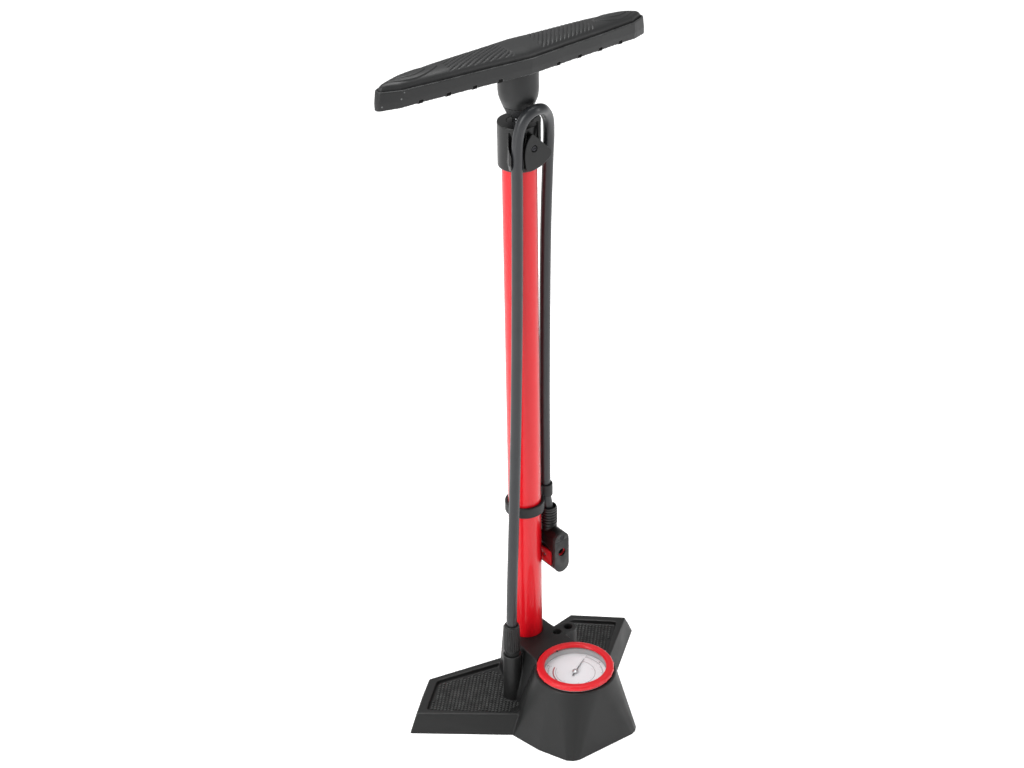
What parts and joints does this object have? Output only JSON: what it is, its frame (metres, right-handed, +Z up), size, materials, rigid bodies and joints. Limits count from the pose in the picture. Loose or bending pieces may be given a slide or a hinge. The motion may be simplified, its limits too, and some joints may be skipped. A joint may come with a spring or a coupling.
{
  "type": "floor bike pump",
  "caption": "Upright hand pump for tyres: three-lobed foot base with a lying gauge, red barrel, T handle on a rod, looped hose with a lever valve head.",
  "frame": {"origin": "on the floor, under the barrel's axis", "axes": "+Z up along the barrel, -Y to the front, where the gauge lies, +X to the side where the valve head hangs"},
  "size_m": [0.2872, 0.185, 0.701],
  "materials": {
    "black_plastic": "fine matt texture",
    "grip_plastic": "soft matt, dimpled",
    "red_plastic": "satin",
    "red_paint": "high gloss",
    "rubber": "satin",
    "chrome": "polished",
    "steel": "turned",
    "dark_steel": "blackened",
    "brass": "turned",
    "grey_plastic": "satin",
    "dial_white": "printed card white",
    "glass": "clear"
  },
  "bodies": {
    "pump_body": {"base_shell": "black_plastic", "valve_block": "black_plastic", "top_collar": "black_plastic", "hose_hook": "black_plastic", "hose_nut": "black_plastic", "head_ferrule": "black_plastic", "head_body": "black_plastic", "head_mouth": "black_plastic", "valve_bush": "red_plastic", "barrel": "red_paint", "centre_foot": "rubber", "foot_pad_right": "rubber", "foot_pad_left": "rubber", "foot_pad_nose_right": "rubber", "foot_pad_nose_left": "rubber", "block_oring": "rubber", "rod_wiper": "rubber", "clip_band": "rubber", "hose": "rubber", "valve_gasket": "rubber", "hook_screw": "dark_steel", "mouth_screw": "dark_steel", "check_spring": "steel", "block_screw_1": "steel", "block_screw_2": "steel", "block_screw_3": "steel", "lever_pin": "steel", "hose_fitting": "brass", "gauge_stem": "brass", "bourdon_tube": "brass", "movement_plate": "brass", "rod_bushing": "grey_plastic", "gauge_cup": "grey_plastic", "gauge_dial": "dial_white", "gauge_lens": "glass"},
    "rod_and_handle": {"piston_rod": "chrome", "rod_insert_low": "steel", "piston_head": "black_plastic", "piston_bolt": "steel", "rod_bumper": "rubber", "handle_socket": "black_plastic", "rod_insert_top": "steel", "handle_body": "black_plastic", "handle_grip": "grip_plastic", "handle_washer": "steel", "handle_bolt": "steel"},
    "piston_ring": {"piston_seal": "rubber"},
    "valve_ball": {"check_ball": "rubber"},
    "sector": {"sector_gear": "brass"},
    "pointer": {"gauge_needle": "steel", "needle_pinion": "brass"},
    "bezel": {"gauge_bezel": "red_plastic"},
    "lever": {"head_lever": "red_plastic"}
  },
  "joints": [
    {"name": "pump_stroke", "type": "slide", "parent": "pump_body", "child": "piston_ring", "axis": [0, 0, 1], "range_m": [0, 0.5]},
    {"name": "handle_turn", "type": "hinge", "parent": "piston_ring", "child": "rod_and_handle", "pos_m": [0, 0, 0.65], "axis": [0, 0, 1], "continuous": true},
    {"name": "check_lift", "type": "slide", "parent": "pump_body", "child": "valve_ball", "axis": [0, 0, -1], "range_m": [0, 0.0012], "deforming": ["check_spring"]},
    {"name": "sector_swing", "type": "hinge", "parent": "pump_body", "child": "sector", "pos_m": [0.009, -0.0912, 0.0575], "axis": [0, 0, 1], "range_deg": [0, 36]},
    {"name": "needle_turn", "type": "hinge", "parent": "pump_body", "child": "pointer", "pos_m": [0, -0.0802, 0.06], "axis": [0, 0, 1], "range_deg": [-270, 0]},
    {"name": "bezel_turn", "type": "hinge", "parent": "pump_body", "child": "bezel", "pos_m": [0, -0.0802, 0.069], "axis": [0, 0, 1], "continuous": true},
    {"name": "lever_swing", "type": "hinge", "parent": "pump_body", "child": "lever", "pos_m": [0.0255, -0.008, 0.156], "axis": [-1, 0, 0], "range_deg": [0, 90]}
  ],
  "couplings": [
    {"joint": "needle_turn", "follows": "sector_swing", "ratio": -7.5}
  ]
}
